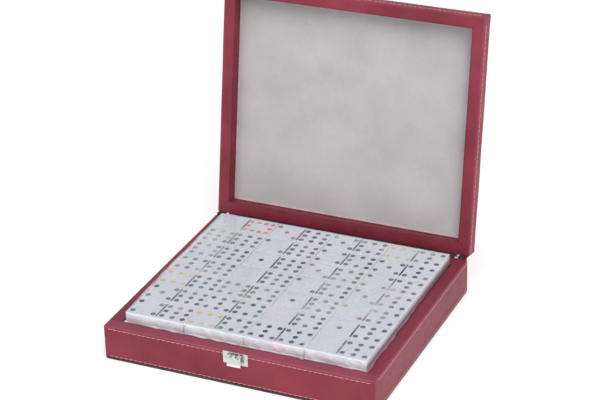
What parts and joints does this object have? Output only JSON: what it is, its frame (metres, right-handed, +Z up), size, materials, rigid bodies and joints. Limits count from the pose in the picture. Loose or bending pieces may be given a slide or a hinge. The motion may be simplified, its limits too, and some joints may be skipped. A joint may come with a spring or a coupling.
{
  "type": "domino storage box",
  "caption": "Shallow leatherette-covered case with a hinged velvet-lined lid, a sprung latch on the front, and film-wrapped stacks of dominoes filling the lower half.",
  "frame": {"origin": "on the surface the case stands on, under the middle of the lower half", "axes": "+X to the right seen from the latch, +Y from the latch to the hinges, +Z up"},
  "size_m": [0.2254, 0.2517, 0.228],
  "materials": {
    "leatherette": "burgundy leatherette with a fine grain, satin",
    "velvet": "short grey velvet",
    "board": "bare fibreboard",
    "dark_sheet": "matt black felt sheet",
    "nickel": "nickel-plated pressed steel",
    "spring_steel": "spring steel strip",
    "tile": "polished white plastic with painted pips",
    "film": "clear shrink film, wrinkled"
  },
  "bodies": {
    "base": {"underside_sheet": "dark_sheet", "floor_board": "board", "floor_pad": "velvet", "base_front_board": "board", "base_back_board": "board", "base_left_board": "board", "base_right_board": "board", "base_cover": "leatherette", "base_wall_lining": "velvet", "left_hinge_base_leaf": "nickel", "left_hinge_pin": "nickel", "right_hinge_base_leaf": "nickel", "right_hinge_pin": "nickel", "hinge_base_screws": "nickel", "latch_plate": "nickel", "latch_pin": "nickel", "latch_spring": "spring_steel", "latch_nails": "nickel"},
    "lid": {"lid_top_board": "board", "lid_front_board": "board", "lid_back_board": "board", "lid_left_board": "board", "lid_right_board": "board", "lid_cover": "leatherette", "lid_velvet_panel": "velvet", "left_hinge_lid_leaf": "nickel", "right_hinge_lid_leaf": "nickel", "hinge_lid_screws": "nickel", "keeper": "nickel", "keeper_nails": "nickel"},
    "flap": {"latch_flap": "nickel"},
    "stack_1": {"stack_1_top_tiles": "tile", "stack_1_lower_tiles": "tile", "stack_1_film": "film"},
    "stack_2": {"stack_2_top_tiles": "tile", "stack_2_lower_tiles": "tile", "stack_2_film": "film"},
    "stack_3": {"stack_3_top_tiles": "tile", "stack_3_lower_tiles": "tile", "stack_3_film": "film"},
    "stack_4": {"stack_4_top_tiles": "tile", "stack_4_lower_tiles": "tile", "stack_4_film": "film"}
  },
  "joints": [
    {"name": "lid_hinge", "type": "hinge", "parent": "base", "child": "lid", "pos_m": [0, 0.1007, 0.0289], "axis": [-1, 0, 0], "range_deg": [-99.7, 0]},
    {"name": "flap_hinge", "type": "hinge", "parent": "base", "child": "flap", "pos_m": [0, -0.1014, 0.0282], "axis": [-1, 0, 0], "range_deg": [0, 75], "stiffness_Nm_per_rad": 0.0015, "springref_deg": -17.19},
    {"name": "stack_1_lift", "type": "slide", "parent": "base", "child": "stack_1", "axis": [0, 0, 1], "range_m": [0, 0.06]},
    {"name": "stack_2_lift", "type": "slide", "parent": "base", "child": "stack_2", "axis": [0, 0, 1], "range_m": [0, 0.06]},
    {"name": "stack_3_lift", "type": "slide", "parent": "base", "child": "stack_3", "axis": [0, 0, 1], "range_m": [0, 0.06]},
    {"name": "stack_4_lift", "type": "slide", "parent": "base", "child": "stack_4", "axis": [0, 0, 1], "range_m": [0, 0.06]}
  ]
}
